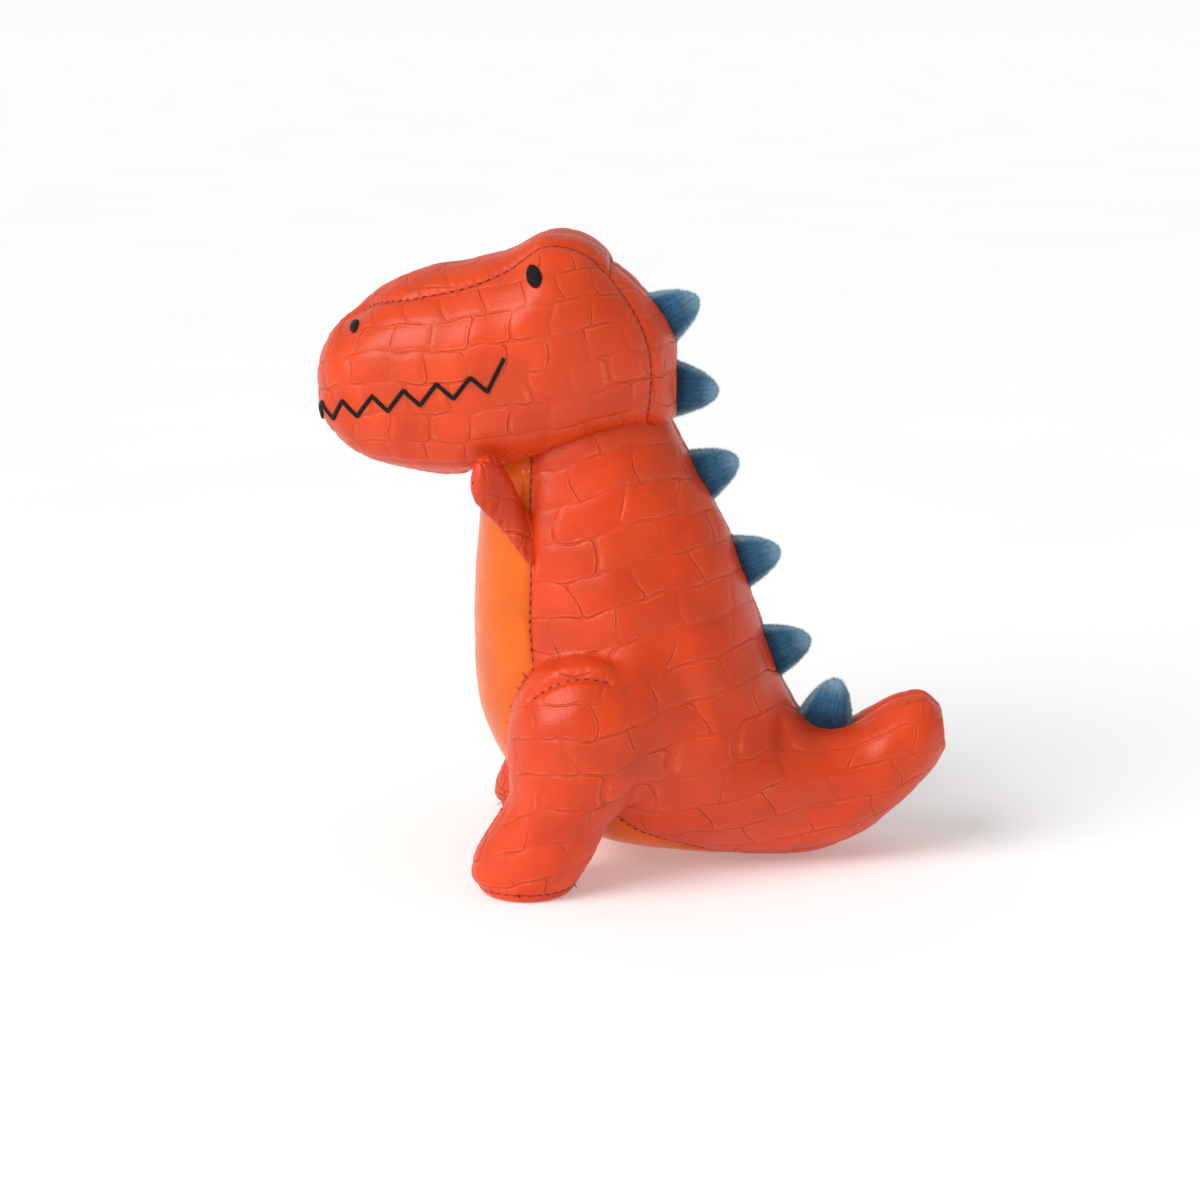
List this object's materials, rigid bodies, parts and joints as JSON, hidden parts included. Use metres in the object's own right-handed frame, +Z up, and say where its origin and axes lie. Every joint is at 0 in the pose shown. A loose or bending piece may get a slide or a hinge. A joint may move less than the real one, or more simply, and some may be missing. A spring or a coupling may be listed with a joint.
{
  "type": "stuffed dinosaur",
  "caption": "Stuffed dinosaur of embossed synthetic leather with a smooth belly, velvet back spikes, flat hinged arms and a head that tips on its neck seam",
  "frame": {"origin": "on the ground, under the middle of the toy's box", "axes": "+Z up, the toy faces -Y, its left side is +X, and X is across its plane of symmetry"},
  "size_m": [0.146, 0.2344, 0.2345],
  "materials": {
    "embossed_leather": "orange-red synthetic leather embossed with a reptile hide pattern, satin",
    "smooth_leather": "smooth orange synthetic leather, satin",
    "velvet": "short pile blue velvet",
    "stuffing": "white fibre stuffing",
    "black_thread": "black satin stitch embroidery"
  },
  "bodies": {
    "torso": {"belly_panel": "smooth_leather", "foot_sole_left": "embossed_leather", "foot_sole_right": "embossed_leather", "inner_leg_panel_left": "embossed_leather", "inner_leg_panel_right": "embossed_leather", "side_panel_left": "embossed_leather", "side_panel_right": "embossed_leather", "spike_3_stuffing": "stuffing", "spike_3_velvet_left": "velvet", "spike_3_velvet_right": "velvet", "spike_4_stuffing": "stuffing", "spike_4_velvet_left": "velvet", "spike_4_velvet_right": "velvet", "spike_5_stuffing": "stuffing", "spike_5_velvet_left": "velvet", "spike_5_velvet_right": "velvet", "spike_6_stuffing": "stuffing", "spike_6_velvet_left": "velvet", "spike_6_velvet_right": "velvet", "torso_stuffing": "stuffing"},
    "head": {"chin_panel": "embossed_leather", "eye_left": "black_thread", "eye_right": "black_thread", "head_back_panel_left": "embossed_leather", "head_back_panel_right": "embossed_leather", "head_base_panel": "embossed_leather", "head_side_panel_left": "embossed_leather", "head_side_panel_right": "embossed_leather", "head_stuffing": "stuffing", "head_top_strip": "embossed_leather", "mouth_stitching": "black_thread", "nostril_left": "black_thread", "nostril_right": "black_thread", "spike_1_stuffing": "stuffing", "spike_1_velvet_left": "velvet", "spike_1_velvet_right": "velvet", "spike_2_stuffing": "stuffing", "spike_2_velvet_left": "velvet", "spike_2_velvet_right": "velvet"},
    "arm_left": {"arm_inner_left": "embossed_leather", "arm_outer_left": "embossed_leather", "arm_stuffing_left": "stuffing"},
    "arm_right": {"arm_inner_right": "embossed_leather", "arm_outer_right": "embossed_leather", "arm_stuffing_right": "stuffing"}
  },
  "joints": [
    {"name": "neck_tip", "type": "hinge", "parent": "torso", "child": "head", "pos_m": [0, -0.018, 0.158], "axis": [1, 0, 0], "range_deg": [-4, 4], "stiffness_Nm_per_rad": 1.5, "springref_deg": -1.09},
    {"name": "shoulder_left", "type": "hinge", "parent": "torso", "child": "arm_left", "pos_m": [0.03451, -0.03608, 0.12761], "axis": [-0.2259, -0.0872, 0.9702], "range_deg": [-5, 40], "stiffness_Nm_per_rad": 0.04},
    {"name": "shoulder_right", "type": "hinge", "parent": "torso", "child": "arm_right", "pos_m": [-0.03451, -0.03608, 0.12761], "axis": [-0.2259, 0.0872, -0.9702], "range_deg": [-5, 40], "stiffness_Nm_per_rad": 0.04}
  ]
}
